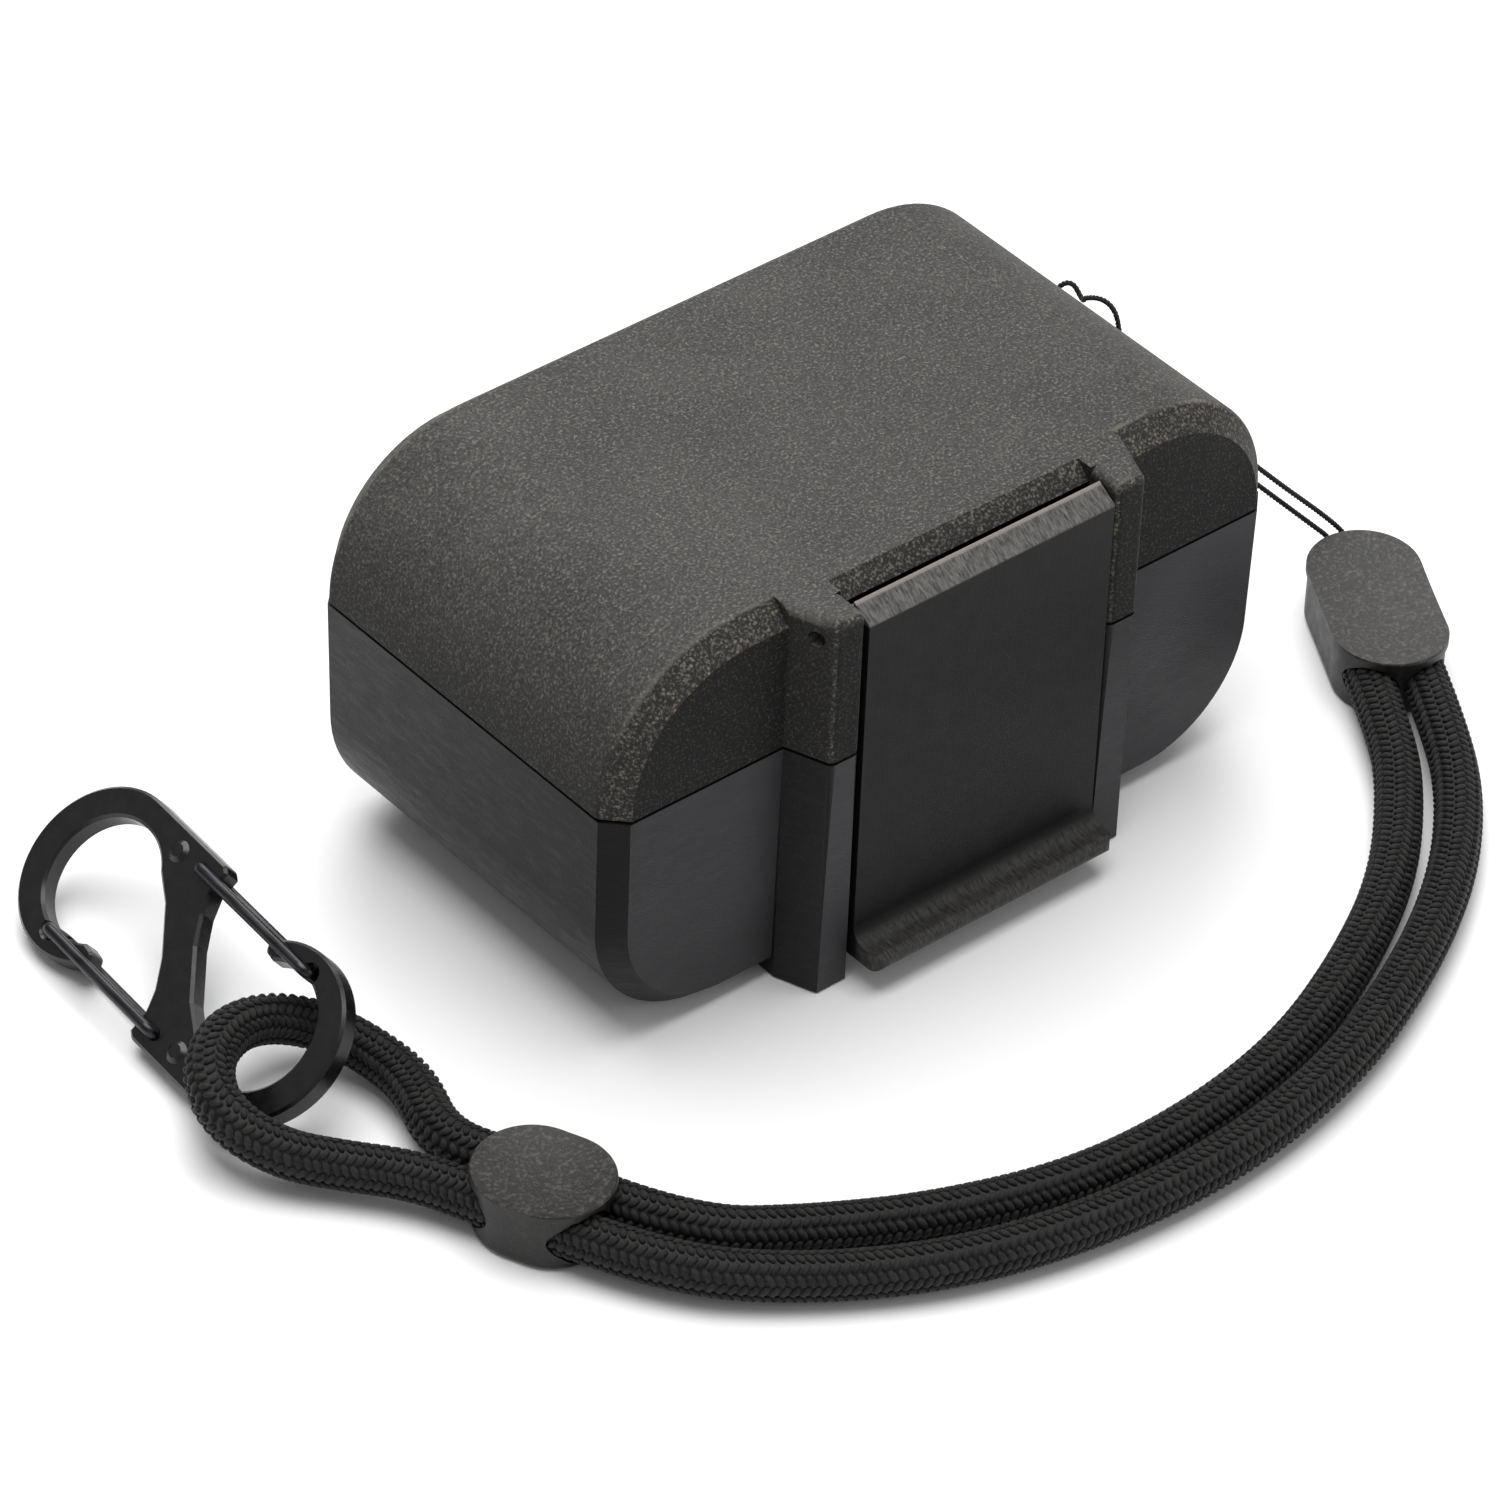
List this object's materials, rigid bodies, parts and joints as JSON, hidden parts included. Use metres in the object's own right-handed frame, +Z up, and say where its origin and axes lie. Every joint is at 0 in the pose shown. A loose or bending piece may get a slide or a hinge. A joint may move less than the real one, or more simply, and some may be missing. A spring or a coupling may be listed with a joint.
{
  "type": "duck call case with lanyard",
  "caption": "Pocket case with a hinged lid and drop latch, holding a duck call in foam, on a wrist lanyard with a cord stop, end cap and gated clip.",
  "frame": {"origin": "centre of the case's underside, on the surface it stands on", "axes": "+X along the case, +Y towards its hinge, +Z up"},
  "size_m": [0.15, 0.1049, 0.0455],
  "materials": {
    "lid_plastic": "fine grained sintered plastic",
    "base_plastic": "matte with fine layer lines",
    "flap_plastic": "matte with fine print lines",
    "steel": "plain steel",
    "foam": "closed-cell foam",
    "call_wood": "oiled dark hardwood",
    "band_metal": "satin",
    "o_ring_rubber": "matte",
    "tone_board_plastic": "satin",
    "reed_plastic": "clear sheet film",
    "cork": "raw cork",
    "cord_braid": "braided nylon",
    "tether_thread": "twisted thread",
    "bead_plastic": "moulded, fine texture",
    "clip_anodised": "black anodised",
    "gate_wire": "dark spring wire"
  },
  "bodies": {
    "case": {"base_shell": "base_plastic", "base_inlay": "foam", "case_hinge_pin": "steel", "call_barrel": "call_wood", "call_band": "band_metal", "wrist_cord": "cord_braid", "tether_cord": "tether_thread", "end_cap_body": "bead_plastic", "end_cap_cover": "bead_plastic"},
    "lid": {"lid_shell": "lid_plastic", "latch_pin": "steel"},
    "latch": {"latch_flap": "flap_plastic"},
    "call_insert": {"call_stopper": "call_wood", "call_o_rings": "o_ring_rubber", "call_tone_board": "tone_board_plastic", "call_reed": "reed_plastic", "call_wedge": "cork"},
    "cord_stop": {"cord_stop_body": "bead_plastic", "cord_stop_cover": "bead_plastic"},
    "clip": {"clip_body": "clip_anodised", "clip_rivets": "clip_anodised"},
    "hook_gate": {"hook_gate": "gate_wire"},
    "ring_gate": {"ring_gate": "gate_wire"}
  },
  "joints": [
    {"name": "lid_hinge", "type": "hinge", "parent": "case", "child": "lid", "pos_m": [0, 0.0255, 0.0286], "axis": [-1, 0, 0], "range_deg": [0, 110]},
    {"name": "latch_hinge", "type": "hinge", "parent": "lid", "child": "latch", "pos_m": [0, -0.0258, 0.043], "axis": [-1, 0, 0], "range_deg": [0, 95]},
    {"name": "call_twist", "type": "hinge", "parent": "case", "child": "call_insert", "pos_m": [0.002, 0, 0.027], "axis": [1, 0, 0], "continuous": true},
    {"name": "stop_slide", "type": "slide", "parent": "case", "child": "cord_stop", "axis": [-0.3998, 0.9166, 0], "range_m": [-0.0014, 0.0014]},
    {"name": "clip_swing", "type": "hinge", "parent": "case", "child": "clip", "pos_m": [-0.06985, -0.00618, 0.00682], "axis": [0, 0, 1], "range_deg": [-6, 12]},
    {"name": "hook_gate_hinge", "type": "hinge", "parent": "clip", "child": "hook_gate", "pos_m": [-0.07506, 0.00358, 0.00227], "axis": [0.6144, -0.0397, -0.788], "range_deg": [0, 22], "stiffness_Nm_per_rad": 0.004},
    {"name": "ring_gate_hinge", "type": "hinge", "parent": "clip", "child": "ring_gate", "pos_m": [-0.06314, 0.01202, 0.01113], "axis": [0.6144, -0.0397, -0.788], "range_deg": [0, 6], "stiffness_Nm_per_rad": 0.004}
  ]
}
